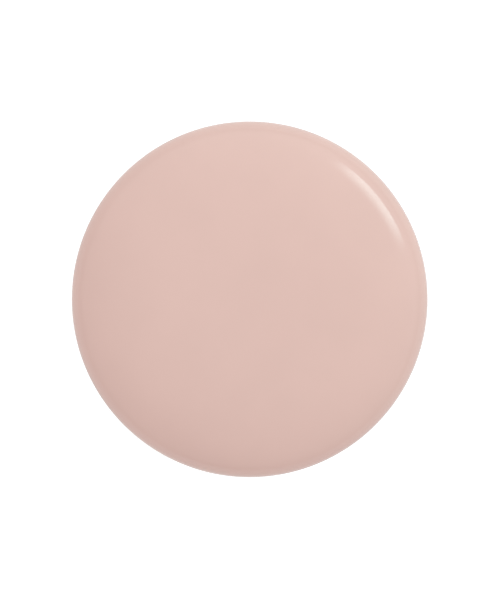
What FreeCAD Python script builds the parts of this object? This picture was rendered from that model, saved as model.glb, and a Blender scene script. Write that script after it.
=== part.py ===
import FreeCAD, Part
import math
import os
import re

import Sketcher

# A round nail polish bottle with a pull-off overcap over a screwed brush cap.
# Millimetres, +Z up. The origin is the middle of the base, on the surface that the bottle
# stands on, and the bottle, the cap and the brush all share the Z axis.

DIMENSIONS = [
    # the glass
    ("bottle_radius", 15.0),
    ("shoulder_height", 33.0),
    ("rim_height", 46.0),
    ("glass_wall", 2.2),
    ("base_thickness", 4.0),
    ("base_push_up", 0.6),
    ("heel_rounding", 3.5),
    ("shoulder_rounding", 2.0),
    ("inner_heel_rounding", 2.5),
    ("inner_shoulder_rounding", 3.0),
    ("bore_radius", 4.3),
    ("neck_radius", 6.5),
    ("neck_fillet", 1.0),
    ("rim_rounding", 0.6),
    ("recess_radius", 10.3),
    ("recess_depth", 0.5),
    # the screw thread, of the 15-415 kind
    ("thread_pitch", 2.117),
    ("thread_turns", 1.75),
    ("thread_height", 0.75),
    ("thread_foot", 0.55),
    ("thread_crest", 0.3),
    ("thread_root_depth", 0.1),
    ("thread_start", 38.5),
    ("cap_thread_height", 0.7),
    # what the glass holds
    ("liquid_level", 27.5),
    ("brush_well_radius", 3.0),
    ("brush_well_floor", 5.4),
    ("ball_radius", 2.0),
    ("ball_path_radius", 10.0),
    ("ball_spacing", 24.0),
    ("ball_gap", 0.05),
    ("ball_room", 0.3),
    ("label_radius", 9.8),
    ("label_thickness", 0.1),
    # the screwed cap with its brush
    ("cap_radius", 8.7),
    ("cap_bore_radius", 7.45),
    ("cap_bottom", 34.4),
    ("cap_top", 61.5),
    ("cap_top_rounding", 1.2),
    ("cap_edge_rounding", 0.4),
    ("rib_count", 24),
    ("rib_height", 0.4),
    ("rib_width", 1.0),
    ("rib_bottom", 35.6),
    ("rib_top", 59.6),
    ("liner_radius", 6.2),
    ("liner_thickness", 1.04),
    ("liner_gap", 0.03),
    ("stem_clearance", 0.1),
    ("stem_radius", 1.6),
    ("stem_bottom", 20.5),
    ("stem_head_radius", 5.7),
    ("stem_head_thickness", 1.5),
    ("slug_radius", 4.9),
    ("slug_length", 11.0),
    ("slug_gap", 0.1),
    ("slug_chamfer", 0.3),
    # the brush
    ("tuft_hole_radius", 1.15),
    ("tuft_hole_depth", 4.5),
    ("tuft_tip", 6.4),
    ("tuft_half_width", 2.3),
    ("tuft_half_thickness", 0.95),
    ("tuft_neck_half_width", 1.0),
    ("tuft_widest_height", 13.5),
    ("tuft_tip_rounding", 1.8),
    ("anchor_half_length", 1.1),
    ("anchor_thickness", 0.35),
    ("anchor_height", 1.6),
    ("anchor_depth", 2.8),
    # the overcap
    ("overcap_radius", 15.2),
    ("overcap_bottom", 33.4),
    ("overcap_top", 71.4),
    ("overcap_wall", 1.4),
    ("crown_rise", 1.5),
    ("dome_edge_rounding", 2.8),
    ("insert_clearance", 0.12),
    ("insert_wall", 1.0),
    ("insert_bottom", 34.6),
    ("insert_top", 63.0),
    ("flange_thickness", 1.2),
    ("fin_count", 8),
    ("fin_thickness", 1.0),
    ("fin_gap", 0.1),
    ("key_width", 0.6),
    ("key_height", 0.3),
]

# Sizes that follow from the driving ones, as formulas of the sheet's names.
INNER_RADIUS = "(bottle_radius - glass_wall)"
THREAD_CREST_RADIUS = "(neck_radius + thread_height)"
CAP_CREST_RADIUS = "(cap_bore_radius - cap_thread_height)"
CEILING = "(rim_height + liner_thickness + 2 * liner_gap)"
HEAD_TOP = f"({CEILING} + stem_head_thickness)"
POCKET_RADIUS = "(slug_radius + slug_gap)"
POCKET_TOP = f"({HEAD_TOP} + slug_length + 2 * slug_gap)"
RIB_RADIUS = "(cap_radius + rib_height)"
INSERT_BORE = f"({RIB_RADIUS} + insert_clearance)"
INSERT_RADIUS = f"({INSERT_BORE} + insert_wall)"
SHELL_BORE = "(overcap_radius - overcap_wall)"
CROWN_EDGE = "(overcap_top - crown_rise)"
CAVITY_EDGE = f"({CROWN_EDGE} - overcap_wall)"
BALL_HEIGHT = "(base_thickness + ball_radius + ball_gap)"
TUFT_TOP = "(stem_bottom + tuft_hole_depth)"

BALL_COUNT = 2

doc = FreeCAD.newDocument("nail_polish_bottle")
sheet = doc.addObject("Spreadsheet::Sheet", "dims")
for row, (alias, value) in enumerate(DIMENSIONS, start=1):
    sheet.set(f"A{row}", str(value))
    sheet.setAlias(f"A{row}", alias)
doc.recompute()

sub_parts = []


def bound(formula):
    """A formula as other objects must spell it, with the sheet's name before each alias."""
    return re.sub(r"\b[a-z]\w+\b(?!\()", r"dims.\g<0>", formula)


def number(formula):
    """What a formula comes to now, as a plain number."""
    return float(sheet.evalExpression(formula))


def new_body(node):
    body = doc.addObject("PartDesign::Body", node)
    body.Label = node
    body.Placement = FreeCAD.Placement()
    sub_parts.append(body)
    return body


def new_sketch(body, name, role="XZ_Plane", offset=None):
    """An empty sketch on one of the body's own planes, or that plane moved along its normal."""
    sketch = body.newObject("Sketcher::SketchObject", name)
    plane = next(item for item in body.Origin.OriginFeatures if item.Role == role)
    sketch.AttachmentSupport = (plane, [""])
    sketch.MapMode = "FlatFace"
    if offset is not None:
        sketch.setExpression("AttachmentOffset.Base.z", bound(offset))
    return sketch


def drive(sketch, index, formula):
    sketch.setExpression(f"Constraints[{index}]", bound(formula))


def place_point(sketch, geometry, end, across, up):
    """Hold one point of a sketch at two formulas, measured from the sketch's origin."""
    for kind, formula, axis in (("DistanceX", across, -2), ("DistanceY", up, -1)):
        if formula == "0":
            sketch.addConstraint(Sketcher.Constraint("PointOnObject", geometry, end, axis))
        else:
            held = Sketcher.Constraint(kind, -1, 1, geometry, end, number(formula))
            drive(sketch, sketch.addConstraint(held), formula)


def rounding_arc(before, corner, after, radius):
    """The arc that rounds a corner, with where it leaves each side and whether it turns left."""
    back = (before - corner).normalize()
    ahead = (after - corner).normalize()
    half_angle = back.getAngle(ahead) / 2
    reach = radius / math.tan(half_angle)
    leaves = corner + back * reach
    joins = corner + ahead * reach
    centre = corner + (back + ahead).normalize() * (radius / math.sin(half_angle))
    middle = centre + (corner - centre).normalize() * radius
    turns_left = back.cross(ahead).z < 0
    ends = (leaves, joins) if turns_left else (joins, leaves)
    return Part.Arc(ends[0], middle, ends[1]), leaves, joins, turns_left


def crown_arc(edge, top):
    """The arc from a crown's edge to its top, with its centre on the axis below."""
    rise = top.y - edge.y
    radius = (edge.x ** 2 + rise ** 2) / (2 * rise)
    centre = FreeCAD.Vector(0, top.y - radius, 0)
    whole = Part.Circle(centre, FreeCAD.Vector(0, 0, 1), radius)
    return Part.ArcOfCircle(whole, math.asin((edge.y - centre.y) / radius), math.pi / 2)


def outline(sketch, corners):
    """Close an outline through its corners.

    A corner is (across, up), or (across, up, rounding) for one with a rounding radius, or
    (across, up, "crown") where a shallow arc starts that runs level into the axis at the next.
    """
    points = [FreeCAD.Vector(number(corner[0]), number(corner[1]), 0) for corner in corners]
    count = len(corners)
    rounding = [corner[2] if len(corner) > 2 else None for corner in corners]
    starts = list(points)
    ends = [points[(index + 1) % count] for index in range(count)]
    arcs = {}
    for index, radius in enumerate(rounding):
        if radius is None or radius == "crown":
            continue
        arc, leaves, joins, turns_left = rounding_arc(
            points[index - 1], points[index], points[(index + 1) % count], number(radius))
        ends[index - 1] = leaves
        starts[index] = joins
        arcs[index] = (arc, turns_left)

    sides = []
    for index in range(count):
        side = Part.LineSegment(starts[index], ends[index])
        if rounding[index] == "crown":
            side = crown_arc(points[index], points[(index + 1) % count])
        sides.append(sketch.addGeometry(side, False))

    for index in range(count):
        before, after = sides[index - 1], sides[index]
        across, up = corners[index][:2]
        if index in arcs:
            arc, turns_left = arcs[index]
            first, last = (1, 2) if turns_left else (2, 1)
            curve = sketch.addGeometry(arc, False)
            sketch.addConstraint(Sketcher.Constraint("Tangent", before, 2, curve, first))
            sketch.addConstraint(Sketcher.Constraint("Tangent", curve, last, after, 1))
            radius = Sketcher.Constraint("Radius", curve, number(rounding[index]))
            drive(sketch, sketch.addConstraint(radius), rounding[index])
            corner = sketch.addGeometry(Part.Point(points[index]), True)
            sketch.addConstraint(Sketcher.Constraint("PointOnObject", corner, 1, before))
            sketch.addConstraint(Sketcher.Constraint("PointOnObject", corner, 1, after))
            place_point(sketch, corner, 1, across, up)
        else:
            sketch.addConstraint(Sketcher.Constraint("Coincident", before, 2, after, 1))
            place_point(sketch, after, 1, across, up)
        if rounding[index] == "crown":
            sketch.addConstraint(Sketcher.Constraint("PointOnObject", after, 3, -2))


def circle(sketch, radius, across="0", up="0"):
    middle = FreeCAD.Vector(number(across), number(up), 0)
    ring = Part.Circle(middle, FreeCAD.Vector(0, 0, 1), number(radius))
    index = sketch.addGeometry(ring, False)
    place_point(sketch, index, 3, across, up)
    size = Sketcher.Constraint("Radius", index, number(radius))
    drive(sketch, sketch.addConstraint(size), radius)


def volume_of(body):
    return 0.0 if body.Shape.isNull() else body.Shape.Volume


def spin(body, sketch, name, kind="PartDesign::Revolution"):
    """Turn a sketch a whole turn about the upright axis, adding it or, as a Groove, cutting it."""
    volume = volume_of(body)
    feature = body.newObject(kind, name)
    feature.Profile = sketch
    feature.ReferenceAxis = (sketch, ["V_Axis"])
    feature.Angle = 360
    doc.recompute()
    if kind == "PartDesign::Groove" and not volume_of(body) < volume:
        raise RuntimeError(f"{name} cuts nothing")
    return feature


def extrude(body, sketch, name, length, kind="PartDesign::Pad", reverse=False, both_ways=False):
    """Push a sketch along its normal, adding it or, as a Pocket, cutting it."""
    volume = volume_of(body)
    feature = body.newObject(kind, name)
    feature.Profile = sketch
    feature.Reversed = reverse
    if both_ways:
        feature.SideType = "Symmetric"
    feature.setExpression("Length", bound(length))
    doc.recompute()
    if kind == "PartDesign::Pocket" and not volume_of(body) < volume:
        raise RuntimeError(f"{name} cuts nothing")
    return feature


def circles_at(body, radius, height):
    """The names of the body's round edges of one radius at one height."""
    size = number(radius)
    level = number(height)
    return [f"Edge{index}" for index, edge in enumerate(body.Shape.Edges, start=1)
            if not edge.Degenerated
            and isinstance(edge.Curve, Part.Circle)
            and math.isclose(edge.Curve.Radius, size, abs_tol=1e-6)
            and math.isclose(edge.Curve.Center.z, level, abs_tol=1e-6)]


def soften(body, feature, name, edges, size, kind="PartDesign::Fillet"):
    """Round edges of a feature to a radius or, as a Chamfer, cut them back by a size."""
    if not edges:
        raise RuntimeError(f"{name} finds no edge")
    softened = body.newObject(kind, name)
    softened.Base = (feature, edges)
    softened.setExpression("Size" if kind == "PartDesign::Chamfer" else "Radius", bound(size))
    doc.recompute()
    return softened


def ring_of(body, feature, name, count):
    """Repeat a feature evenly round the upright axis."""
    pattern = body.newObject("PartDesign::PolarPattern", name)
    pattern.Originals = [feature]
    axis = next(item for item in body.Origin.OriginFeatures if item.Role == "Z_Axis")
    pattern.Axis = (axis, [""])
    pattern.Angle = 360
    pattern.setExpression("Occurrences", bound(count))
    body.Tip = pattern
    doc.recompute()
    return pattern


def screw_thread(body, name, foot_radius, crest_radius, first_height):
    """One right-handed thread, a blunt wedge wound up the axis from its first height."""
    sketch = new_sketch(body, f"{name}_profile")
    outline(sketch, [
        (foot_radius, f"{first_height} - thread_foot"),
        (crest_radius, f"{first_height} - thread_crest"),
        (crest_radius, f"{first_height} + thread_crest"),
        (foot_radius, f"{first_height} + thread_foot"),
    ])
    doc.recompute()
    helix = body.newObject("PartDesign::AdditiveHelix", name)
    helix.Profile = sketch
    helix.ReferenceAxis = (sketch, ["V_Axis"])
    helix.Mode = "pitch-turns-angle"
    helix.setExpression("Pitch", bound("thread_pitch"))
    helix.setExpression("Turns", bound("thread_turns"))
    doc.recompute()
    return helix


def make_glass_bottle():
    """A thick-based round jar with a soft heel and shoulder and a threaded neck."""
    body = new_body("glass_bottle")
    sketch = new_sketch(body, "glass_section")
    outline(sketch, [
        ("0", "recess_depth"),
        ("recess_radius", "recess_depth"),
        ("recess_radius", "0"),
        ("bottle_radius", "0", "heel_rounding"),
        ("bottle_radius", "shoulder_height", "shoulder_rounding"),
        ("neck_radius", "shoulder_height", "neck_fillet"),
        ("neck_radius", "rim_height", "rim_rounding"),
        ("bore_radius", "rim_height", "rim_rounding"),
        ("bore_radius", "shoulder_height - glass_wall", "neck_fillet"),
        (INNER_RADIUS, "shoulder_height - glass_wall", "inner_shoulder_rounding"),
        (INNER_RADIUS, "base_thickness", "inner_heel_rounding"),
        ("ball_path_radius - ball_radius", "base_thickness"),
        ("0", "base_thickness + base_push_up"),
    ])
    doc.recompute()
    spin(body, sketch, "glass_jar")
    screw_thread(body, "neck_thread", "neck_radius - thread_root_depth", THREAD_CREST_RADIUS,
                 "thread_start")


def make_nail_polish():
    """The lacquer, with the well that the brush works in and the channel that the balls roll in."""
    body = new_body("nail_polish")
    sketch = new_sketch(body, "lacquer_section")
    outline(sketch, [
        ("0", "base_thickness + base_push_up"),
        ("ball_path_radius - ball_radius", "base_thickness"),
        (INNER_RADIUS, "base_thickness", "inner_heel_rounding"),
        (INNER_RADIUS, "liquid_level"),
        ("brush_well_radius", "liquid_level"),
        ("brush_well_radius", "brush_well_floor"),
        ("0", "brush_well_floor"),
    ])
    doc.recompute()
    spin(body, sketch, "lacquer_fill")
    channel = new_sketch(body, "ball_channel_section")
    circle(channel, "ball_radius + ball_room", "ball_path_radius", BALL_HEIGHT)
    doc.recompute()
    spin(body, channel, "ball_channel", "PartDesign::Groove")


def make_mixing_ball(number_on_path):
    """A steel ball lying on the glass. The balls are spaced evenly either side of the X axis."""
    ball = doc.addObject("Part::Sphere", f"mixing_ball_{number_on_path}")
    ball.Label = f"mixing_ball_{number_on_path}"
    ball.setExpression("Radius", bound("ball_radius"))
    from_middle = number_on_path - (BALL_COUNT + 1) / 2
    turn = f"{from_middle} * dims.ball_spacing * 1 deg"
    ball.setExpression("Placement.Base.x", f"dims.ball_path_radius * cos({turn})")
    ball.setExpression("Placement.Base.y", f"dims.ball_path_radius * sin({turn})")
    ball.setExpression("Placement.Base.z", bound(BALL_HEIGHT))
    sub_parts.append(ball)


def make_base_label():
    """A blank paper disc stuck up in the recess under the base, clear of the table."""
    body = new_body("base_label")
    sketch = new_sketch(body, "label_disc", "XY_Plane", "recess_depth")
    circle(sketch, "label_radius")
    doc.recompute()
    extrude(body, sketch, "label_sheet", "label_thickness", reverse=True)


def make_cap_liner():
    """The washer between the glass rim and the cap, loose on the stem."""
    body = new_body("cap_liner")
    sketch = new_sketch(body, "liner_section")
    outline(sketch, [
        ("stem_radius + stem_clearance", "rim_height + liner_gap"),
        ("liner_radius", "rim_height + liner_gap"),
        ("liner_radius", "rim_height + liner_gap + liner_thickness"),
        ("stem_radius + stem_clearance", "rim_height + liner_gap + liner_thickness"),
    ])
    doc.recompute()
    spin(body, sketch, "liner_washer")


def make_cap_weight():
    """A plain steel slug in the inner cap's pocket, closed in by the stem's head."""
    body = new_body("cap_weight")
    slug_bottom = f"{HEAD_TOP} + slug_gap"
    sketch = new_sketch(body, "slug_disc", "XY_Plane", slug_bottom)
    circle(sketch, "slug_radius")
    doc.recompute()
    slug = extrude(body, sketch, "slug", "slug_length")
    rims = circles_at(body, "slug_radius", slug_bottom)
    rims += circles_at(body, "slug_radius", f"{slug_bottom} + slug_length")
    soften(body, slug, "slug_edges", rims, "slug_chamfer", "PartDesign::Chamfer")


def make_inner_cap():
    """The screwed cap: a threaded skirt below, a pocket for the slug above, ribs outside."""
    body = new_body("inner_cap")
    sketch = new_sketch(body, "inner_cap_section")
    outline(sketch, [
        ("cap_bore_radius", "cap_bottom"),
        ("cap_radius", "cap_bottom", "cap_edge_rounding"),
        ("cap_radius", "cap_top", "cap_top_rounding"),
        ("0", "cap_top"),
        ("0", POCKET_TOP),
        (POCKET_RADIUS, POCKET_TOP),
        (POCKET_RADIUS, HEAD_TOP),
        ("stem_head_radius", HEAD_TOP),
        ("stem_head_radius", CEILING),
        ("cap_bore_radius", CEILING),
    ])
    doc.recompute()
    spin(body, sketch, "inner_cap_shell")
    screw_thread(body, "cap_thread", "cap_bore_radius + thread_root_depth", CAP_CREST_RADIUS,
                 "thread_start + thread_pitch / 2")
    rib = new_sketch(body, "rib_section", "XY_Plane", "rib_bottom")
    outline(rib, [
        ("cap_radius - rib_height", "-rib_width / 2"),
        (RIB_RADIUS, "-rib_width / 4"),
        (RIB_RADIUS, "rib_width / 4"),
        ("cap_radius - rib_height", "rib_width / 2"),
    ])
    doc.recompute()
    ridge = extrude(body, rib, "grip_rib", "rib_top - rib_bottom")
    ring_of(body, ridge, "grip_ribs", "rib_count")


def make_brush_stem():
    """The moulded rod: a head that snaps into the cap, and a hole for the tuft in its end."""
    body = new_body("brush_stem")
    sketch = new_sketch(body, "stem_section")
    outline(sketch, [
        ("0", TUFT_TOP),
        ("tuft_hole_radius", TUFT_TOP),
        ("tuft_hole_radius", "stem_bottom"),
        ("stem_radius", "stem_bottom"),
        ("stem_radius", CEILING),
        ("stem_head_radius", CEILING),
        ("stem_head_radius", HEAD_TOP),
        ("0", HEAD_TOP),
    ])
    doc.recompute()
    spin(body, sketch, "stem_and_head")


def plate_outline(sketch, half_length):
    """The anchor plate, or the room for it, seen from above."""
    outline(sketch, [
        (f"-{half_length}", "-anchor_thickness / 2"),
        (half_length, "-anchor_thickness / 2"),
        (half_length, "anchor_thickness / 2"),
        (f"-{half_length}", "anchor_thickness / 2"),
    ])


def make_tuft_anchor():
    """A little metal plate across the tuft, wedged in the stem's hole."""
    body = new_body("tuft_anchor")
    sketch = new_sketch(body, "anchor_face", "XY_Plane", f"{TUFT_TOP} - anchor_depth")
    plate_outline(sketch, "anchor_half_length")
    doc.recompute()
    extrude(body, sketch, "anchor_plate", "anchor_height")


def make_bristles():
    """The tuft: round where the stem holds it, flat and wide below, with rounded corners."""
    body = new_body("bristles")
    bundle = new_sketch(body, "tuft_in_hole", "XY_Plane", "stem_bottom")
    circle(bundle, "tuft_hole_radius")
    doc.recompute()
    extrude(body, bundle, "tuft_root", "tuft_hole_depth")

    # The bristles are folded round the anchor, so the anchor's room is cut out of the tuft.
    slot = new_sketch(body, "anchor_room", "XY_Plane", f"{TUFT_TOP} - anchor_depth")
    plate_outline(slot, "stem_radius")
    doc.recompute()
    extrude(body, slot, "anchor_slot", "anchor_height", "PartDesign::Pocket", reverse=True)

    face = new_sketch(body, "tuft_face")
    outline(face, [
        ("-tuft_neck_half_width", "stem_bottom"),
        ("-tuft_half_width", "tuft_widest_height"),
        ("-tuft_half_width", "tuft_tip", "tuft_tip_rounding"),
        ("tuft_half_width", "tuft_tip", "tuft_tip_rounding"),
        ("tuft_half_width", "tuft_widest_height"),
        ("tuft_neck_half_width", "stem_bottom"),
    ])
    doc.recompute()
    extrude(body, face, "flat_tuft", "2 * tuft_half_thickness", both_ways=True)


def make_overcap_shell():
    """The glossy outer cap: a straight round wall, a shallow crown and a soft edge between."""
    body = new_body("overcap_shell")
    sketch = new_sketch(body, "shell_section")
    outline(sketch, [
        ("0", "overcap_bottom"),
        ("overcap_radius", "overcap_bottom", "cap_edge_rounding"),
        ("overcap_radius", CROWN_EDGE, "crown"),
        ("0", "overcap_top"),
    ])
    doc.recompute()
    blank = spin(body, sketch, "shell_and_crown")
    soften(body, blank, "dome_edge", circles_at(body, "overcap_radius", CROWN_EDGE),
           "dome_edge_rounding")
    cavity = new_sketch(body, "shell_cavity_section")
    outline(cavity, [
        ("0", "overcap_bottom"),
        (SHELL_BORE, "overcap_bottom"),
        (SHELL_BORE, CAVITY_EDGE, "crown"),
        ("0", "overcap_top - overcap_wall"),
    ])
    doc.recompute()
    hollow = spin(body, cavity, "shell_cavity", "PartDesign::Groove")
    soften(body, hollow, "cavity_edge", circles_at(body, SHELL_BORE, CAVITY_EDGE),
           "dome_edge_rounding - overcap_wall")


def make_overcap_insert():
    """The sleeve inside the overcap: it slides on the inner cap's ribs and is keyed between them."""
    body = new_body("overcap_insert")
    sketch = new_sketch(body, "insert_section")
    outline(sketch, [
        (INSERT_BORE, "insert_bottom"),
        (SHELL_BORE, "insert_bottom"),
        (SHELL_BORE, "insert_bottom + flange_thickness"),
        (INSERT_RADIUS, "insert_bottom + flange_thickness"),
        (INSERT_RADIUS, "insert_top"),
        ("0", "insert_top"),
        ("0", "insert_top - insert_wall"),
        (INSERT_BORE, "insert_top - insert_wall"),
    ])
    doc.recompute()
    spin(body, sketch, "insert_sleeve")

    fin = new_sketch(body, "fin_section", "XY_Plane", "insert_bottom")
    outline(fin, [
        (f"{INSERT_RADIUS} - insert_wall / 2", "-fin_thickness / 2"),
        (f"{SHELL_BORE} - fin_gap", "-fin_thickness / 2"),
        (f"{SHELL_BORE} - fin_gap", "fin_thickness / 2"),
        (f"{INSERT_RADIUS} - insert_wall / 2", "fin_thickness / 2"),
    ])
    doc.recompute()
    web = extrude(body, fin, "centring_fin", "insert_top - insert_bottom")
    ring_of(body, web, "centring_fins", "fin_count")

    # The keys stand in the gaps between the ribs, half a rib's pitch round from the fins.
    key = new_sketch(body, "key_section", "XY_Plane", "insert_bottom")
    key.setExpression("AttachmentOffset.Rotation.Angle", "180 deg / dims.rib_count")
    outline(key, [
        (f"{INSERT_BORE} - key_height", "-key_width / 2"),
        (f"{INSERT_BORE} + insert_wall / 2", "-key_width / 2"),
        (f"{INSERT_BORE} + insert_wall / 2", "key_width / 2"),
        (f"{INSERT_BORE} - key_height", "key_width / 2"),
    ])
    doc.recompute()
    tooth = extrude(body, key, "drive_key", "insert_top - insert_wall - insert_bottom")
    ring_of(body, tooth, "drive_keys", "fin_count")


make_glass_bottle()
make_nail_polish()
for number_on_path in range(1, BALL_COUNT + 1):
    make_mixing_ball(number_on_path)
make_base_label()
make_cap_liner()
make_cap_weight()
make_inner_cap()
make_brush_stem()
make_tuft_anchor()
make_bristles()
make_overcap_shell()
make_overcap_insert()
doc.recompute()

for item in doc.Objects:
    if {"Invalid", "Error"} & set(item.State):
        raise RuntimeError(f"{item.Name} failed: {item.State}")

os.makedirs("parts", exist_ok=True)
for part in sub_parts:
    if part.Shape.isNull() or not part.Shape.isValid():
        raise RuntimeError(f"{part.Label} has no valid shape")
    part.Shape.exportStep(f"parts/{part.Label}.step")
    print(f"{part.Label}: {part.Shape.Volume:.2f} cubic mm, {len(part.Shape.Solids)} solid")
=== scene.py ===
import math
import random

import bmesh
import bpy
import numpy as np
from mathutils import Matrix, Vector


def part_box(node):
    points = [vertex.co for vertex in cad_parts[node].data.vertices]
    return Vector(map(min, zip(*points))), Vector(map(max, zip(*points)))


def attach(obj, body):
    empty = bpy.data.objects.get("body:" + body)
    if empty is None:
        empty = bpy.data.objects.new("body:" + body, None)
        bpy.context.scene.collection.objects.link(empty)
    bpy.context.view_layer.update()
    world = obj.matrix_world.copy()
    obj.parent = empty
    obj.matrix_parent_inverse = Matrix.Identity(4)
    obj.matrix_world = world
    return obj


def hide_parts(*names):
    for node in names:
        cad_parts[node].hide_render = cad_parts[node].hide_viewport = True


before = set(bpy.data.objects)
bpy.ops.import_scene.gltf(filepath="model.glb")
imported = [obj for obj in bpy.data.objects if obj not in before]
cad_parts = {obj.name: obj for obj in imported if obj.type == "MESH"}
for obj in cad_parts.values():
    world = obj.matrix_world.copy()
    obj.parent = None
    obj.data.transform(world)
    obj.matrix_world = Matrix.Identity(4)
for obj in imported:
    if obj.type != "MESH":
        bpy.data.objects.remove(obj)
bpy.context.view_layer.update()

# ---------------------------------------------------------------------------------------------
# Sizes, in metres. Whatever the frame knows is read from it; the rest is named here.
# ---------------------------------------------------------------------------------------------

MM = 0.001

_, glass_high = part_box("glass_bottle")
liquid_low, liquid_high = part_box("nail_polish")
label_low, label_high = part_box("base_label")
cap_low, cap_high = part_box("inner_cap")
liner_low, liner_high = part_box("cap_liner")
slug_low, slug_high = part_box("cap_weight")
stem_low, stem_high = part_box("brush_stem")
tuft_low, tuft_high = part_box("bristles")
shell_low, shell_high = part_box("overcap_shell")
_, insert_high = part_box("overcap_insert")

# The glass.
BOTTLE_RADIUS = glass_high.x
RIM_HEIGHT = glass_high.z
INNER_RADIUS = liquid_high.x
GLASS_WALL = BOTTLE_RADIUS - INNER_RADIUS
FLOOR_HEIGHT = liquid_low.z
NECK_LENGTH = 13.0 * MM
SHOULDER_HEIGHT = RIM_HEIGHT - NECK_LENGTH
NECK_RADIUS = 6.5 * MM
BORE_RADIUS = 4.3 * MM
INNER_HEEL_ROUNDING = 2.5 * MM
RECESS_RADIUS = 10.3 * MM
RECESS_DEPTH = 0.5 * MM
PUSH_UP = 0.6 * MM
BALL_PATH_INSIDE = 8.0 * MM

# The lacquer: how far it reaches into the glass, and how its edge is drawn up the wall.
LIQUID_LEVEL = liquid_high.z
WALL_WETTING = 0.03 * MM
FLOOR_WETTING = 0.02 * MM
MENISCUS_REACH = 2.5 * MM
MENISCUS_RISE = 0.6 * MM
MENISCUS_CURVE = 2.5

# The label and its print.
LABEL_AIR = 0.03 * MM
LABEL_EDGE = 0.03 * MM
LABEL_DOT_RADIUS = 3.2 * MM
LABEL_RING_RADIUS = 8.6 * MM
LABEL_RING_WIDTH = 0.35 * MM
LABEL_INK_EDGE = 0.05 * MM

# The two threads. A thread is level across its crest and slopes down to its foot, both measured
# from its middle, and it fades in and out over a part of a turn.
THREAD_PITCH = 2.117 * MM
THREAD_TURNS = 1.75
THREAD_HEIGHT = 0.75 * MM
CAP_THREAD_HEIGHT = 0.7 * MM
THREAD_CREST = 0.24 * MM
THREAD_FOOT = 0.55 * MM
THREAD_START = 38.5 * MM
THREAD_FADE_TURNS = 0.09

# The screwed cap. The crest and the foot of a rib are shares of the way from one rib to the next.
CAP_RADIUS = 8.7 * MM
CAP_BORE = 7.45 * MM
RIB_RADIUS = cap_high.x
RIB_COUNT = 24
RIB_CREST = 0.13
RIB_FOOT = 0.24
RIB_BOTTOM = 35.6 * MM
RIB_TOP = 59.6 * MM
RIB_RUN_OUT = 0.5 * MM
GATE_RADIUS = 1.4 * MM
GATE_DEPTH = 0.15 * MM
SLUG_GAP = 0.1 * MM
LINER_GAP = 0.1 * MM

# The brush.
STEM_RADIUS = 1.6 * MM
STEM_HEAD_THICKNESS = 1.5 * MM
STEM_HEAD_BOTTOM = stem_high.z - STEM_HEAD_THICKNESS
TUFT_HOLE_RADIUS = 1.15 * MM
TUFT_ROOT_DEPTH = 1.2 * MM
TUFT_HALF_WIDTH = tuft_high.x
TUFT_HALF_THICKNESS = 0.95 * MM
TUFT_ARCH = 1.6 * MM
FILAMENT_COUNT = 420
FILAMENT_RADIUS = 0.048 * MM

# The wet lacquer on the brush, from just over the liquid down to the tip of the tuft.
COAT_TOP = LIQUID_LEVEL + 2.5 * MM
COAT_BOTTOM = tuft_low.z + 0.15 * MM
COAT_THICKNESS = 0.07 * MM
COAT_DRIP = 1.1 * MM
COMB_TOP = stem_low.z - 1.5 * MM
COMB_FULL = stem_low.z - 5 * MM

# The overcap.
OVERCAP_RADIUS = shell_high.x
OVERCAP_WALL = 1.4 * MM
SHELL_BORE = insert_high.x
DOME_RISE = 4.0 * MM
DOME_SPRING = shell_high.z - DOME_RISE
DOME_FLATNESS = 2.8
DOME_EDGE = 0.44

AROUND = 192
RNG = random.Random(11)


# ---------------------------------------------------------------------------------------------
# Outlines and turned meshes
# ---------------------------------------------------------------------------------------------

def rounded(corners, support=0.12 * MM, steps=7):
    """Points along a closed outline of (radius, height, rounding) corners, with the corners as
    arcs and a supporting point near each end of every long straight side."""
    arcs = []
    count = len(corners)
    for index, (across, up, rounding) in enumerate(corners):
        corner = Vector((across, up))
        if rounding == 0:
            arcs.append([corner])
            continue
        back = Vector(corners[index - 1][:2]) - corner
        ahead = Vector(corners[(index + 1) % count][:2]) - corner
        half_angle = back.angle(ahead) / 2
        reach = min(rounding / math.tan(half_angle), 0.48 * min(back.length, ahead.length))
        radius = reach * math.tan(half_angle)
        back.normalize()
        ahead.normalize()
        centre = corner + (back + ahead).normalized() * (radius / math.sin(half_angle))
        first = corner + back * reach - centre
        sweep = first.angle_signed(corner + ahead * reach - centre)
        arc = []
        for step in range(steps + 1):
            turn = -sweep * step / steps
            arc.append(centre + Vector((
                first.x * math.cos(turn) - first.y * math.sin(turn),
                first.x * math.sin(turn) + first.y * math.cos(turn))))
        arcs.append(arc)

    points = []
    for index, arc in enumerate(arcs):
        points.extend(arc)
        following = arcs[(index + 1) % count][0]
        side = following - arc[-1]
        if side.length > 5 * support:
            points.append(arc[-1] + side.normalized() * support)
            points.append(following - side.normalized() * support)
    return points


def near(first, second):
    return abs(first - second) < 1e-7


def cut_after(outline, axis, value):
    """The outline up to the last point whose radius (axis 0) or height (axis 1) is the value."""
    while not near(outline[-1][axis], value):
        outline.pop()
    return outline


def dome_points(radius, spring, top, steps):
    """A drop-like dome from the top of an upright wall to the axis, flatter in the middle than
    a quarter ellipse and turning down faster at its edge."""
    points = []
    for step in range(1, steps + 1):
        across = math.cos(math.pi / 2 * step / steps)
        rise = (1 - across ** DOME_FLATNESS) ** DOME_EDGE
        points.append(Vector((radius * across, spring + (top - spring) * rise)))
    points[-1].x = 0.0
    return points


def push_up_points(level, steps=16):
    """The low dome in the middle of the glass floor, from its edge up to the axis."""
    points = []
    for step in range(1, steps + 1):
        across = 1 - step / steps
        points.append(Vector((BALL_PATH_INSIDE * across, level + PUSH_UP * (1 - across ** 2))))
    return points


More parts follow.
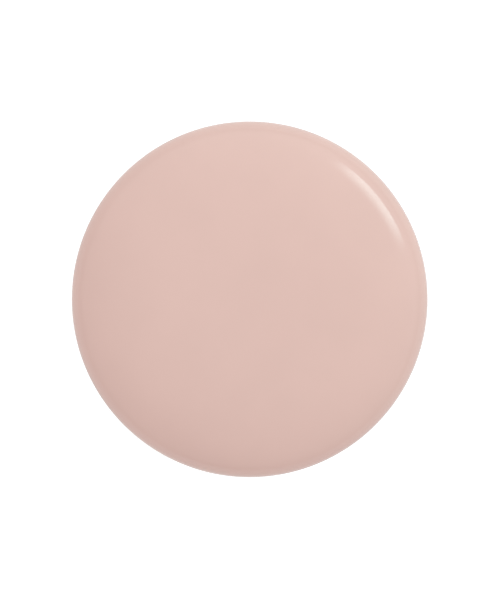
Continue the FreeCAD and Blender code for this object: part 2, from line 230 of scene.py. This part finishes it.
def meniscus_points(radius, steps=12):
    """The liquid's surface, from the edge drawn up the wall down to its level middle."""
    points = []
    for step in range(1, steps):
        inward = step / steps
        sunk = 1 - (1 - inward) ** MENISCUS_CURVE
        points.append(Vector((radius - MENISCUS_REACH * inward,
                              LIQUID_LEVEL - MENISCUS_RISE * sunk)))
    points.append(Vector((0.0, LIQUID_LEVEL - MENISCUS_RISE)))
    return points


def divided(outline, radius, spacing):
    """The outline with its upright walls of one radius divided finely, ready to be shaped."""
    points = []
    for point, following in zip(outline, outline[1:] + outline[:1]):
        points.append(point)
        if near(point.x, radius) and near(following.x, radius):
            count = max(1, round(abs(following.y - point.y) / spacing))
            points.extend(point.lerp(following, step / count) for step in range(1, count))
    return points


def band(first, second):
    """The faces between two rings of points. A ring of one point is a pole."""
    if len(first) == 1 and len(second) == 1:
        return []
    faces = []
    around = max(len(first), len(second))
    for step in range(around):
        after = (step + 1) % around
        if len(first) == 1:
            faces.append((first[0], second[after], second[step]))
        elif len(second) == 1:
            faces.append((first[step], first[after], second[0]))
        else:
            faces.append((first[step], first[after], second[after], second[step]))
    return faces


def turned(name, outline, around=AROUND, shape=None):
    """A mesh turned about Z from a closed outline. shape(radii, heights, angles) gives the radii
    of one ring's points."""
    angles = np.arange(around) * (2 * math.pi / around)
    vertices = []
    rings = []
    for across, up in outline:
        if near(across, 0):
            rings.append([len(vertices)])
            vertices.append((0.0, 0.0, up))
            continue
        radii = np.full(around, across)
        if shape is not None:
            radii = shape(radii, np.full(around, up), angles)
        rings.append(range(len(vertices), len(vertices) + around))
        vertices.extend(zip(radii * np.cos(angles), radii * np.sin(angles), [up] * around))

    faces = []
    for first, second in zip(rings, rings[1:] + rings[:1]):
        faces.extend(band(first, second))
    return add_mesh(name, vertices, faces)


def add_mesh(name, vertices, faces, smooth=True):
    """An object made of these points and faces, with its faces turned outwards."""
    mesh = bpy.data.meshes.new(name)
    mesh.from_pydata([tuple(map(float, point)) for point in vertices], [], faces)
    mesh.validate()
    piece = bpy.data.objects.new(name, mesh)
    bpy.context.scene.collection.objects.link(piece)
    turn_faces_out(mesh)
    mesh.polygons.foreach_set("use_smooth", [smooth] * len(mesh.polygons))
    return piece


def turn_faces_out(mesh):
    work = bmesh.new()
    work.from_mesh(mesh)
    bmesh.ops.recalc_face_normals(work, faces=work.faces)
    work.to_mesh(mesh)
    work.free()


def smoothstep(low, high, value):
    step = np.clip((value - low) / (high - low), 0.0, 1.0)
    return step * step * (3 - 2 * step)


def thread_ridge(height, angle, start):
    """How far a right-handed thread stands proud at a place, from 0 to 1, fading at both ends."""
    ridge = np.zeros_like(height)
    for whole_turn in range(math.ceil(THREAD_TURNS) + 1):
        turns = whole_turn + angle / (2 * math.pi)
        off_centre = np.abs(height - start - THREAD_PITCH * turns)
        section = 1 - smoothstep(THREAD_CREST, THREAD_FOOT, off_centre)
        ends = (smoothstep(0, THREAD_FADE_TURNS, turns)
                * smoothstep(0, THREAD_FADE_TURNS, THREAD_TURNS - turns))
        ridge = np.maximum(ridge, section * ends)
    return ridge


# ---------------------------------------------------------------------------------------------
# Materials
# ---------------------------------------------------------------------------------------------

class Surface:
    """A material with a Principled shader, and short ways to wire patterns into it."""

    def __init__(self, name, **constants):
        self.material = bpy.data.materials.new(name)
        self.material.use_nodes = True
        self.nodes = self.material.node_tree.nodes
        self.links = self.material.node_tree.links
        self.shader = self.nodes["Principled BSDF"]
        for socket, value in constants.items():
            self.shader.inputs[socket.replace("_", " ")].default_value = value
        self.place = self.nodes.new("ShaderNodeTexCoord").outputs

    def noise(self, scale, detail, roughness=0.5, stretch=(1, 1, 1), distortion=0.0):
        mapping = self.nodes.new("ShaderNodeMapping")
        mapping.inputs["Scale"].default_value = stretch
        self.links.new(self.place["Object"], mapping.inputs["Vector"])
        texture = self.nodes.new("ShaderNodeTexNoise")
        texture.inputs["Scale"].default_value = scale
        texture.inputs["Detail"].default_value = detail
        texture.inputs["Roughness"].default_value = roughness
        texture.inputs["Distortion"].default_value = distortion
        self.links.new(mapping.outputs["Vector"], texture.inputs["Vector"])
        return texture.outputs["Fac"]

    def cells(self, scale):
        texture = self.nodes.new("ShaderNodeTexVoronoi")
        texture.inputs["Scale"].default_value = scale
        self.links.new(self.place["Object"], texture.inputs["Vector"])
        return texture.outputs["Distance"]

    def ramp(self, value, *stops):
        """A colour that runs between two stops of (value, colour)."""
        ramp = self.nodes.new("ShaderNodeValToRGB")
        for element, (position, colour) in zip(ramp.color_ramp.elements, stops):
            element.position = position
            element.color = (*colour, 1.0)
        self.links.new(value, ramp.inputs["Fac"])
        return ramp.outputs["Color"]

    def span(self, value, low, high, from_low=0.3, from_high=0.7):
        spread = self.nodes.new("ShaderNodeMapRange")
        spread.inputs["From Min"].default_value = from_low
        spread.inputs["From Max"].default_value = from_high
        spread.inputs["To Min"].default_value = low
        spread.inputs["To Max"].default_value = high
        self.links.new(value, spread.inputs["Value"])
        return spread.outputs["Result"]

    def combine(self, operation, first, second):
        """A sum on two values, each of them a socket or a plain number."""
        math_node = self.nodes.new("ShaderNodeMath")
        math_node.operation = operation
        for socket, value in zip(math_node.inputs, (first, second)):
            if isinstance(value, (int, float)):
                socket.default_value = value
            else:
                self.links.new(value, socket)
        return math_node.outputs["Value"]

    def parts(self, place):
        """The X, Y and Z of a place output, such as Object or Normal."""
        separate = self.nodes.new("ShaderNodeSeparateXYZ")
        self.links.new(self.place[place], separate.inputs["Vector"])
        return separate.outputs

    def from_axis(self):
        """Distance from the object's Z axis."""
        parts = self.parts("Object")
        squares = [self.combine("MULTIPLY", parts[axis], parts[axis]) for axis in ("X", "Y")]
        return self.combine("SQRT", self.combine("ADD", *squares), 0)

    def facing_down(self):
        """1 where the surface faces down, and 0 where it faces up."""
        return self.combine("LESS_THAN", self.parts("Normal")["Z"], 0.0)

    def printed(self, paper, ink, distance, half_width):
        """The paper's colour with ink on its underside, where the distance is under half_width."""
        inked = self.span(distance, 1.0, 0.0, half_width - LABEL_INK_EDGE, half_width)
        mix = self.nodes.new("ShaderNodeMix")
        mix.data_type = "RGBA"
        self.links.new(self.combine("MULTIPLY", inked, self.facing_down()), mix.inputs["Factor"])
        self.links.new(paper, mix.inputs["A"])
        mix.inputs["B"].default_value = (*ink, 1.0)
        return mix.outputs["Result"]

    def feed(self, socket, value):
        self.links.new(value, self.shader.inputs[socket])

    def tint(self, pattern, colour, spread, low=0.3, high=0.7):
        """A base colour that runs with a pattern from a little darker to a little lighter."""
        darker = tuple(channel * (1 - spread) for channel in colour)
        lighter = tuple(min(1.0, channel * (1 + spread)) for channel in colour)
        self.feed("Base Color", self.ramp(pattern, (low, darker), (high, lighter)))

    def bump(self, height, strength, distance):
        bump = self.nodes.new("ShaderNodeBump")
        bump.inputs["Strength"].default_value = strength
        bump.inputs["Distance"].default_value = distance
        self.links.new(height, bump.inputs["Height"])
        self.feed("Normal", bump.outputs["Normal"])


LACQUER = (0.735, 0.497, 0.443)
# The filling's colour: the lacquer painted lighter, as painted light for the lacquer seen behind
# glass.
LACQUER_IN_GLASS = (0.985, 0.69, 0.61)
GLASS_DARK = (0.975, 0.985, 0.98)
GLASS_LIGHT = (0.992, 0.996, 0.994)
BRIGHT_STEEL = (0.62, 0.63, 0.64)
DULL_STEEL = (0.42, 0.43, 0.44)
BRASS = (0.70, 0.50, 0.20)
PAPER_DARK = (0.80, 0.78, 0.74)
PAPER_LIGHT = (0.90, 0.885, 0.855)
RING_INK = (0.25, 0.22, 0.21)
FOAM_DARK = (0.72, 0.71, 0.68)
FOAM_LIGHT = (0.86, 0.855, 0.83)
CAP_IVORY = (0.83, 0.80, 0.755)
INSERT_IVORY = (0.78, 0.765, 0.73)
STEM_IVORY = (0.82, 0.80, 0.76)
STAINED_NYLON = (0.62, 0.43, 0.385)


def overcap_material():
    """Glossy paint with a barely visible mottle, a faint haze and orange peel."""
    surface = Surface("overcap gloss", IOR=1.5)
    surface.tint(surface.noise(160, 3), LACQUER, 0.012, 0.35, 0.65)
    surface.feed("Roughness", surface.span(surface.noise(90, 5, 0.6), 0.045, 0.085))
    surface.bump(surface.noise(900, 2), 0.012, 0.0004)
    return surface.material


def glass_material():
    """Clear glass with the gentle waves of a moulded wall, drawn out upwards."""
    surface = Surface("clear glass", IOR=1.5, Roughness=0.012, Transmission_Weight=1.0)
    tone = surface.ramp(surface.noise(60, 2), (0.3, GLASS_DARK), (0.7, GLASS_LIGHT))
    surface.feed("Base Color", tone)
    surface.bump(surface.noise(70, 2, stretch=(1, 1, 0.4)), 0.05, 0.0006)
    return surface.material


def lacquer_material(name, colour, specular_level):
    """Opaque lacquer with a faint swirl."""
    surface = Surface(name, IOR=1.48, Specular_IOR_Level=specular_level)
    swirl = surface.noise(120, 4, 0.55, stretch=(1, 1, 0.5), distortion=1.2)
    surface.tint(swirl, colour, 0.02)
    surface.feed("Roughness", surface.span(surface.noise(300, 2), 0.06, 0.12))
    return surface.material


def metal_material(name, colour, roughness, stretch):
    """Metal with fine marks, drawn out along the axes where stretch is small."""
    surface = Surface(name, Metallic=1.0)
    lines = surface.noise(900, 5, 0.7, stretch=stretch)
    surface.tint(lines, colour, 0.06)
    surface.feed("Roughness", surface.span(lines, roughness * 0.7, roughness * 1.5))
    surface.bump(lines, 0.06, 0.0001)
    return surface.material


def paper_material():
    """Coated paper, its underside printed with a thin ring near its edge and a dot of the shade
    in the middle."""
    surface = Surface("label paper", Specular_IOR_Level=0.3)
    fibres = surface.noise(2600, 6, 0.7, stretch=(1, 0.25, 1))
    paper = surface.ramp(fibres, (0.25, PAPER_DARK), (0.75, PAPER_LIGHT))
    out = surface.from_axis()
    off_ring = surface.combine("ABSOLUTE", surface.combine("SUBTRACT", out, LABEL_RING_RADIUS), 0)
    dotted = surface.printed(paper, LACQUER, out, LABEL_DOT_RADIUS)
    surface.feed("Base Color", surface.printed(dotted, RING_INK, off_ring, LABEL_RING_WIDTH / 2))
    surface.feed("Roughness", surface.span(fibres, 0.75, 0.95))
    surface.bump(fibres, 0.15, 0.00008)
    return surface.material


def plastic_material(name, colour, roughness, bump):
    """Moulded plastic with faint flow lines in its colour and a fine grain."""
    surface = Surface(name, IOR=1.48)
    surface.tint(surface.noise(110, 4, stretch=(1, 1, 0.3)), colour, 0.02)
    grain = surface.noise(2200, 3)
    surface.feed("Roughness", surface.span(grain, roughness * 0.85, roughness * 1.15))
    surface.bump(grain, bump, 0.00008)
    return surface.material


def foam_material():
    surface = Surface("liner foam", Specular_IOR_Level=0.3, Roughness=0.7)
    pores = surface.cells(3200)
    surface.feed("Base Color", surface.ramp(pores, (0.1, FOAM_DARK), (0.5, FOAM_LIGHT)))
    surface.bump(pores, 0.35, 0.00012)
    return surface.material


def bristle_material():
    """Nylon stained by the lacquer, streaked along its length."""
    surface = Surface("nylon bristle", IOR=1.53)
    along = surface.noise(1500, 3, stretch=(1, 1, 0.05))
    surface.tint(along, STAINED_NYLON, 0.10)
    surface.feed("Roughness", surface.span(along, 0.18, 0.34))
    surface.bump(along, 0.1, 0.00005)
    return surface.material


MATERIALS = {
    "overcap": overcap_material(),
    "glass": glass_material(),
    # Glass throws much of the light that leaves the lacquer back at it, which deepens its colour,
    # and hardly any is reflected where the two touch. So the filling is less glossy, and its
    # colour is painted lighter than the lacquer's own: painted light to make up for that
    # deepening.
    "filling": lacquer_material("lacquer filling", LACQUER_IN_GLASS, 0.08),
    "wet lacquer": lacquer_material("wet lacquer", LACQUER, 0.5),
    "ball": metal_material("ball steel", BRIGHT_STEEL, 0.10, (1, 1, 1)),
    "slug": metal_material("slug steel", DULL_STEEL, 0.26, (0.06, 0.06, 1)),
    "brass": metal_material("anchor brass", BRASS, 0.22, (1, 1, 0.1)),
    "paper": paper_material(),
    "foam": foam_material(),
    "cap": plastic_material("inner cap plastic", CAP_IVORY, 0.32, 0.05),
    "insert": plastic_material("insert plastic", INSERT_IVORY, 0.42, 0.08),
    "stem": plastic_material("stem plastic", STEM_IVORY, 0.22, 0.03),
    "bristle": bristle_material(),
}


def dress(piece, material):
    piece.data.materials.clear()
    piece.data.materials.append(MATERIALS[material])


def finish_piece(piece, material, body, slot, *nodes):
    """Dress a piece, let it ride on its body and stand for the CAD nodes it replaces."""
    dress(piece, material)
    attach(piece, body)
    if nodes:
        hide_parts(*nodes)


# ---------------------------------------------------------------------------------------------
# The bottle and what it holds
# ---------------------------------------------------------------------------------------------

def make_glass():
    """The jar, with its outside, its neck, its inside and the low dome of its floor."""
    inner_top = SHOULDER_HEIGHT - GLASS_WALL
    outline = rounded([
        (0.0, RECESS_DEPTH, 0),
        (RECESS_RADIUS, RECESS_DEPTH, 0.25 * MM),
        (RECESS_RADIUS, 0.0, 0.3 * MM),
        (BOTTLE_RADIUS, 0.0, 3.5 * MM),
        (BOTTLE_RADIUS, SHOULDER_HEIGHT, 2.0 * MM),
        (NECK_RADIUS, SHOULDER_HEIGHT, 1.0 * MM),
        (NECK_RADIUS, RIM_HEIGHT, 0.6 * MM),
        (BORE_RADIUS, RIM_HEIGHT, 0.6 * MM),
        (BORE_RADIUS, inner_top, 1.0 * MM),
        (INNER_RADIUS, inner_top, 3.0 * MM),
        (INNER_RADIUS, FLOOR_HEIGHT, INNER_HEEL_ROUNDING),
        (BALL_PATH_INSIDE, FLOOR_HEIGHT, 0),
    ], steps=12)
    outline = cut_after(outline, 0, BALL_PATH_INSIDE) + push_up_points(FLOOR_HEIGHT)

    def neck_thread(radii, heights, angles):
        outside = (np.abs(radii - NECK_RADIUS) < 1e-6) & (heights > SHOULDER_HEIGHT)
        return radii + outside * THREAD_HEIGHT * thread_ridge(heights, angles, THREAD_START)

    glass = turned("glass_jar", divided(outline, NECK_RADIUS, 0.1 * MM), shape=neck_thread)
    finish_piece(glass, "glass", "bottle", "clear_glass", "glass_bottle")


def make_lacquer():
    """The liquid fills the glass wall to wall, a hair into it, with its edge drawn up the wall."""
    wet_radius = INNER_RADIUS + WALL_WETTING
    wet_floor = FLOOR_HEIGHT - FLOOR_WETTING
    side = rounded([
        (BALL_PATH_INSIDE, wet_floor, 0),
        (wet_radius, wet_floor, INNER_HEEL_ROUNDING),
        (wet_radius, LIQUID_LEVEL, 0),
    ], steps=12)
    outline = push_up_points(wet_floor)[::-1] + cut_after(side, 1, LIQUID_LEVEL)
    lacquer = turned("lacquer_fill", outline + meniscus_points(wet_radius))
    finish_piece(lacquer, "filling", "bottle", "lacquer", "nail_polish")


def make_balls():
    for number in (1, 2):
        node = f"mixing_ball_{number}"
        low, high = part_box(node)
        bpy.ops.mesh.primitive_uv_sphere_add(
            segments=48, ring_count=32, radius=(high.x - low.x) / 2, location=(low + high) / 2)
        ball = bpy.context.object
        ball.name = f"steel_ball_{number}"
        ball.data.polygons.foreach_set("use_smooth", [True] * len(ball.data.polygons))
        finish_piece(ball, "ball", "mixing_balls", "ball_steel", node)


def make_label():
    """The label has a hair of air over it, so that the glass above it keeps its bright look."""
    label_top = label_high.z - LABEL_AIR
    outline = rounded([
        (0.0, label_low.z, 0),
        (label_high.x, label_low.z, LABEL_EDGE),
        (label_high.x, label_top, LABEL_EDGE),
        (0.0, label_top, 0),
    ], support=0.05 * MM, steps=3)
    label = turned("blank_label", outline)
    finish_piece(label, "paper", "bottle", "label_paper", "base_label")


# ---------------------------------------------------------------------------------------------
# The screwed cap and the brush
# ---------------------------------------------------------------------------------------------

def make_inner_cap():
    """The cap, with its ribs outside, its thread inside and the mark of the gate on its top."""
    pocket_radius = slug_high.x + SLUG_GAP
    pocket_top = slug_high.z + SLUG_GAP
    outline = rounded([
        (CAP_BORE, cap_low.z, 0.25 * MM),
        (CAP_RADIUS, cap_low.z, 0.35 * MM),
        (CAP_RADIUS, cap_high.z, 1.2 * MM),
        (GATE_RADIUS, cap_high.z, 0.1 * MM),
        (GATE_RADIUS - GATE_DEPTH, cap_high.z - GATE_DEPTH, 0.1 * MM),
        (0.0, cap_high.z - GATE_DEPTH, 0),
        (0.0, pocket_top, 0),
        (pocket_radius, pocket_top, 0.2 * MM),
        (pocket_radius, stem_high.z, 0.1 * MM),
        (stem_high.x, stem_high.z, 0.1 * MM),
        (stem_high.x, STEM_HEAD_BOTTOM, 0.1 * MM),
        (CAP_BORE, STEM_HEAD_BOTTOM, 0.2 * MM),
    ])
    outline = divided(outline, CAP_RADIUS, 0.5 * MM)
    outline = divided(outline, CAP_BORE, 0.15 * MM)
    thread_start = THREAD_START + THREAD_PITCH / 2

    def ribs_and_thread(radii, heights, angles):
        outside = np.abs(radii - CAP_RADIUS) < 1e-6
        inside = np.abs(radii - CAP_BORE) < 1e-6
        from_rib = np.abs((angles * RIB_COUNT / (2 * math.pi) + 0.5) % 1.0 - 0.5)
        rib = 1 - smoothstep(RIB_CREST, RIB_FOOT, from_rib)
        ends = (smoothstep(RIB_BOTTOM, RIB_BOTTOM + RIB_RUN_OUT, heights)
                * (1 - smoothstep(RIB_TOP - RIB_RUN_OUT, RIB_TOP, heights)))
        thread = CAP_THREAD_HEIGHT * thread_ridge(heights, angles, thread_start)
        return radii + outside * (RIB_RADIUS - CAP_RADIUS) * rib * ends - inside * thread

    cap = turned("ribbed_cap", outline, around=RIB_COUNT * 12, shape=ribs_and_thread)
    finish_piece(cap, "cap", "brush_cap", "inner_cap_plastic", "inner_cap")


def make_liner():
    hole_radius = STEM_RADIUS + LINER_GAP
    outline = rounded([
        (hole_radius, liner_low.z, 0.15 * MM),
        (liner_high.x, liner_low.z, 0.2 * MM),
        (liner_high.x, liner_high.z, 0.2 * MM),
        (hole_radius, liner_high.z, 0.15 * MM),
    ])
    liner = turned("foam_washer", outline)
    finish_piece(liner, "foam", "liner", "liner_foam", "cap_liner")


def make_slug():
    outline = rounded([
        (0.0, slug_low.z, 0),
        (slug_high.x, slug_low.z, 0.3 * MM),
        (slug_high.x, slug_high.z, 0.3 * MM),
        (0.0, slug_high.z, 0),
    ])
    slug = turned("steel_slug", outline)
    finish_piece(slug, "slug", "slug", "slug_steel", "cap_weight")


def make_stem():
    outline = rounded([
        (0.0, tuft_high.z, 0),
        (TUFT_HOLE_RADIUS, tuft_high.z, 0.1 * MM),
        (TUFT_HOLE_RADIUS, stem_low.z, 0.08 * MM),
        (STEM_RADIUS, stem_low.z, 0.2 * MM),
        (STEM_RADIUS, STEM_HEAD_BOTTOM, 0.05 * MM),
        (stem_high.x, STEM_HEAD_BOTTOM, 0.1 * MM),
        (stem_high.x, stem_high.z, 0.1 * MM),
        (0.0, stem_high.z, 0),
    ])
    stem = turned("brush_rod", outline, around=64)
    finish_piece(stem, "stem", "brush_cap", "stem_plastic", "brush_stem")


def tuft_fan(down):
    """How far the tuft has spread, from 0 at its root to 1 at its tip."""
    return smoothstep(0.05, 0.95, down)


def make_tuft():
    """Fine nylon filaments, round in the stem's hole and spread flat below, trimmed to an arch.
    They stand in a sunflower pattern with a little disorder, and each tapers to its tip."""
    sides = 5
    levels = 9
    golden_angle = math.pi * (3 - math.sqrt(5))
    top = stem_low.z + TUFT_ROOT_DEPTH
    root_radius = TUFT_HOLE_RADIUS - 2 * FILAMENT_RADIUS
    half_width = (TUFT_HALF_WIDTH - 2 * FILAMENT_RADIUS) * 0.96
    half_depth = TUFT_HALF_THICKNESS * 0.82
    vertices = []
    faces = []
    for index in range(FILAMENT_COUNT):
        reach = math.sqrt((index + 0.5) / FILAMENT_COUNT)
        across = reach * math.cos(index * golden_angle)
        deep = reach * math.sin(index * golden_angle)
        wobble_x = RNG.uniform(-0.05, 0.05) * MM
        wobble_y = RNG.uniform(-0.04, 0.04) * MM
        tip = tuft_low.z + TUFT_ARCH * abs(across) ** 3 + RNG.uniform(0.0, 0.35) * MM
        rings = []
        for level in range(levels):
            down = level / (levels - 1)
            height = top + (tip - top) * down
            fan = tuft_fan(down)
            x = across * (root_radius + (half_width - root_radius) * fan) + wobble_x * fan
            y = deep * (root_radius + (half_depth - root_radius) * fan) + wobble_y * fan
            radius = FILAMENT_RADIUS * (1 - 0.35 * down)
            if level == levels - 1:
                radius *= 0.45
            rings.append(range(len(vertices), len(vertices) + sides))
            for side in range(sides):
                turn = 2 * math.pi * side / sides
                vertices.append((x + radius * math.cos(turn), y + radius * math.sin(turn), height))
        for upper, lower in zip(rings, rings[1:]):
            faces.extend(band(upper, lower))
        faces.append(tuple(rings[0]))
        faces.append(tuple(reversed(rings[-1])))
    tuft = add_mesh("bristle_filaments", vertices, faces)
    finish_piece(tuft, "bristle", "brush_cap", "nylon_bristle", "bristles")


def coat_size(height):
    """Half the width and half the depth of the wet lacquer at a height on the brush."""
    if height > stem_low.z:
        up = (height - stem_low.z) / (COAT_TOP - stem_low.z)
        radius = STEM_RADIUS + COAT_THICKNESS * (1 - up ** 4)
        return radius, radius

    down = (stem_low.z - height) / (stem_low.z - COAT_BOTTOM)
    tip = math.sqrt(max(0.0, 1 - max(0.0, (down - 0.72) / 0.28) ** 2.4))
    gathered = 1 - smoothstep(0.0, 0.12, down)
    sizes = []
    for widest in (TUFT_HALF_WIDTH * 0.93, TUFT_HALF_THICKNESS * 0.86):
        size = (TUFT_HOLE_RADIUS + (widest - TUFT_HOLE_RADIUS) * tuft_fan(down)) * tip
        sizes.append(size + (STEM_RADIUS - size) * gathered)
    return sizes


def make_wet_lacquer():
    """Lacquer held in the tuft and clinging to the foot of the stem, where the brush is dipped.
    The filaments comb it into ridges, and its upper edge has run down unevenly."""
    around = 156
    levels = 60
    vertices = []
    rings = []
    for level in range(levels):
        height = COAT_TOP + (COAT_BOTTOM - COAT_TOP) * level / levels
        half_width, half_depth = coat_size(height)
        combed = smoothstep(COMB_TOP, COMB_FULL, height)
        edge = smoothstep(LIQUID_LEVEL, COAT_TOP, height)
        rings.append(range(len(vertices), len(vertices) + around))
        for step in range(around):
            turn = 2 * math.pi * step / around
            ripple = 1 + combed * (0.022 * math.sin(21 * turn + 0.4) + 0.014 * math.sin(13 * turn))
            wave = (math.sin(2 * turn + 0.6) + 0.5 * math.sin(5 * turn)) / 1.5
            vertices.append((half_width * ripple * math.cos(turn),
                             half_depth * ripple * math.sin(turn),
                             height - max(0.0, COAT_DRIP * edge * wave)))
    rings.append([len(vertices)])
    vertices.append((0.0, 0.0, COAT_BOTTOM))
    faces = []
    for upper, lower in zip(rings, rings[1:]):
        faces.extend(band(upper, lower))
    faces.append(tuple(rings[0]))
    coat = add_mesh("lacquer_on_brush", vertices, faces)
    finish_piece(coat, "wet lacquer", "brush_cap", "lacquer")


# ---------------------------------------------------------------------------------------------
# The overcap
# ---------------------------------------------------------------------------------------------

def make_overcap():
    """A straight wall with a soft lower edge, closed by the dome outside and its hollow inside."""
    wall = rounded([
        (SHELL_BORE, DOME_SPRING - OVERCAP_WALL, 0),
        (SHELL_BORE, shell_low.z, 0.3 * MM),
        (OVERCAP_RADIUS, shell_low.z, 0.45 * MM),
        (OVERCAP_RADIUS, DOME_SPRING, 0),
    ], steps=9)
    outside = dome_points(OVERCAP_RADIUS, DOME_SPRING, shell_high.z, steps=72)
    inside = dome_points(SHELL_BORE, DOME_SPRING - OVERCAP_WALL, shell_high.z - OVERCAP_WALL,
                         steps=40)
    outline = cut_after(wall, 1, DOME_SPRING) + outside + inside[::-1]
    outline = divided(outline, OVERCAP_RADIUS, 2.0 * MM)
    shell = turned("domed_overcap", outline, around=256)
    finish_piece(shell, "overcap", "overcap", "overcap_gloss", "overcap_shell")


make_glass()
make_lacquer()
make_balls()
make_label()
make_inner_cap()
make_liner()
make_slug()
make_stem()
make_tuft()
make_wet_lacquer()
make_overcap()

# Two pieces keep their CAD shapes: the cut brass plate and the moulded sleeve.
dress(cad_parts["tuft_anchor"], "brass")
dress(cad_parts["overcap_insert"], "insert")


# ---------------------------------------------------------------------------------------------
# Floor, light and camera
# ---------------------------------------------------------------------------------------------

LIGHT_SIDE = (1.19, 1.22, 1.22)
DARK_SIDE = (0.72, 0.70, 0.695)
TOWARDS_LIGHT_SIDE = (0.34, 0.94, 0.0)
HORIZON_LEVEL = 0.5
HORIZON_BLEND = 0.3
KEY_COLOUR = (0.72, 1.0, 0.985)
FLOOR_DARK = (0.80, 0.80, 0.80)
FLOOR_LIGHT = (0.82, 0.82, 0.82)


def make_floor():
    """A pale floor. Its glow is strong only in what the camera sees, so that it looks white."""
    size = 6.0
    corners = [(-size, -size, 0), (size, -size, 0), (size, size, 0), (-size, size, 0)]
    floor = add_mesh("floor", corners, [(0, 1, 2, 3)], smooth=False)
    surface = Surface("pale floor", Roughness=0.6, Specular_IOR_Level=0.1)
    tone = surface.ramp(surface.noise(300, 3), (0.3, FLOOR_DARK), (0.7, FLOOR_LIGHT))
    surface.feed("Base Color", tone)
    surface.shader.inputs["Emission Color"].default_value = (1, 1, 1, 1)
    seen = surface.nodes.new("ShaderNodeLightPath").outputs["Is Camera Ray"]
    surface.feed("Emission Strength", surface.span(seen, 0.08, 0.46, 0.0, 1.0))
    floor.data.materials.append(surface.material)


def make_world():
    """An even pale studio: a little brighter and cooler to the upper right, darker and warmer to
    the lower left, and dimmer close to the horizon. The camera itself sees plain white."""
    world = bpy.data.worlds.new("studio")
    bpy.context.scene.world = world
    world.use_nodes = True
    nodes = world.node_tree.nodes
    links = world.node_tree.links
    nodes.clear()
    output = nodes.new("ShaderNodeOutputWorld")
    direction = nodes.new("ShaderNodeTexCoord").outputs["Generated"]

    towards = nodes.new("ShaderNodeVectorMath")
    towards.operation = "DOT_PRODUCT"
    towards.inputs[1].default_value = TOWARDS_LIGHT_SIDE
    links.new(direction, towards.inputs[0])
    side = nodes.new("ShaderNodeMapRange")
    side.inputs["From Min"].default_value = -1.0
    side.inputs["From Max"].default_value = 1.0
    links.new(towards.outputs["Value"], side.inputs["Value"])
    tint = nodes.new("ShaderNodeMix")
    tint.data_type = "RGBA"
    tint.inputs["A"].default_value = (*DARK_SIDE, 1.0)
    tint.inputs["B"].default_value = (*LIGHT_SIDE, 1.0)
    links.new(side.outputs["Result"], tint.inputs["Factor"])

    parts = nodes.new("ShaderNodeSeparateXYZ")
    links.new(direction, parts.inputs["Vector"])
    horizon = nodes.new("ShaderNodeMapRange")
    horizon.interpolation_type = "SMOOTHSTEP"
    horizon.inputs["From Min"].default_value = 0.0
    horizon.inputs["From Max"].default_value = HORIZON_BLEND
    horizon.inputs["To Min"].default_value = HORIZON_LEVEL
    links.new(parts.outputs["Z"], horizon.inputs["Value"])

    studio = nodes.new("ShaderNodeBackground")
    links.new(tint.outputs["Result"], studio.inputs["Color"])
    links.new(horizon.outputs["Result"], studio.inputs["Strength"])
    seen = nodes.new("ShaderNodeBackground")
    seen.inputs["Color"].default_value = (1.0, 1.0, 1.0, 1.0)
    mix = nodes.new("ShaderNodeMixShader")
    links.new(nodes.new("ShaderNodeLightPath").outputs["Is Camera Ray"], mix.inputs["Fac"])
    links.new(studio.outputs["Background"], mix.inputs[1])
    links.new(seen.outputs["Background"], mix.inputs[2])
    links.new(mix.outputs["Shader"], output.inputs["Surface"])


def make_key_light():
    """One wide, low softbox to the right of the object and a little behind it, level from side
    to side and aimed at the top of the overcap. It makes the crescent highlight."""
    azimuth = math.radians(38.5)
    elevation = math.radians(29.5)
    distance = 0.5
    data = bpy.data.lights.new("key", "AREA")
    data.shape = "RECTANGLE"
    data.size = 0.38
    data.size_y = 0.18
    data.energy = 0.95
    data.color = KEY_COLOUR
    light = bpy.data.objects.new("key", data)
    bpy.context.scene.collection.objects.link(light)
    aim = Vector((0, 0, shell_high.z))
    away = Vector((math.cos(azimuth) * math.cos(elevation),
                   math.sin(azimuth) * math.cos(elevation), math.sin(elevation)))
    light.location = aim + away * distance
    light.rotation_euler = (-away).to_track_quat("-Z", "Y").to_euler()
    light.visible_camera = False
    fade_light(data, end_fade=0.36, top_fade_start=0.25)


def fade_light(data, end_fade, top_fade_start):
    """Dim a softbox smoothly over a share of its width at each end, and from a share of its
    height up to its top."""
    data.use_nodes = True
    nodes = data.node_tree.nodes
    links = data.node_tree.links
    where = nodes.new("ShaderNodeNewGeometry").outputs["Parametric"]
    parts = nodes.new("ShaderNodeSeparateXYZ")
    links.new(where, parts.inputs["Vector"])

    def eased(axis, full, gone):
        step = nodes.new("ShaderNodeMapRange")
        step.interpolation_type = "SMOOTHSTEP"
        step.inputs["From Min"].default_value = gone
        step.inputs["From Max"].default_value = full
        links.new(parts.outputs[axis], step.inputs["Value"])
        return step.outputs["Result"]

    def times(first, second):
        product = nodes.new("ShaderNodeMath")
        product.operation = "MULTIPLY"
        links.new(first, product.inputs[0])
        links.new(second, product.inputs[1])
        return product.outputs["Value"]

    ends = times(eased("X", end_fade, 0.0), eased("X", 1 - end_fade, 1.0))
    strength = times(ends, eased("Y", top_fade_start, 1.0))
    links.new(strength, nodes["Emission"].inputs["Strength"])


def make_camera():
    """Straight above, far enough back that the overcap hides everything under it. The two shifts
    put the disc a little off the middle of the frame."""
    lens = 150.0
    sensor = 36.0
    frame_long_side = 600
    disc_radius_in_frame = 177.8
    data = bpy.data.cameras.new("camera")
    data.lens = lens
    data.sensor_width = sensor
    camera = bpy.data.objects.new("camera", data)
    bpy.context.scene.collection.objects.link(camera)
    distance = OVERCAP_RADIUS * frame_long_side * lens / sensor / disc_radius_in_frame
    camera.location = (0.0, 0.0, DOME_SPRING + distance)
    data.shift_x = 0.3 / frame_long_side
    data.shift_y = -0.7 / frame_long_side
    data.clip_start = 0.01
    data.clip_end = 10.0
    bpy.context.scene.camera = camera


make_floor()
make_world()
make_key_light()
make_camera()
bpy.context.scene.view_settings.view_transform = "Standard"
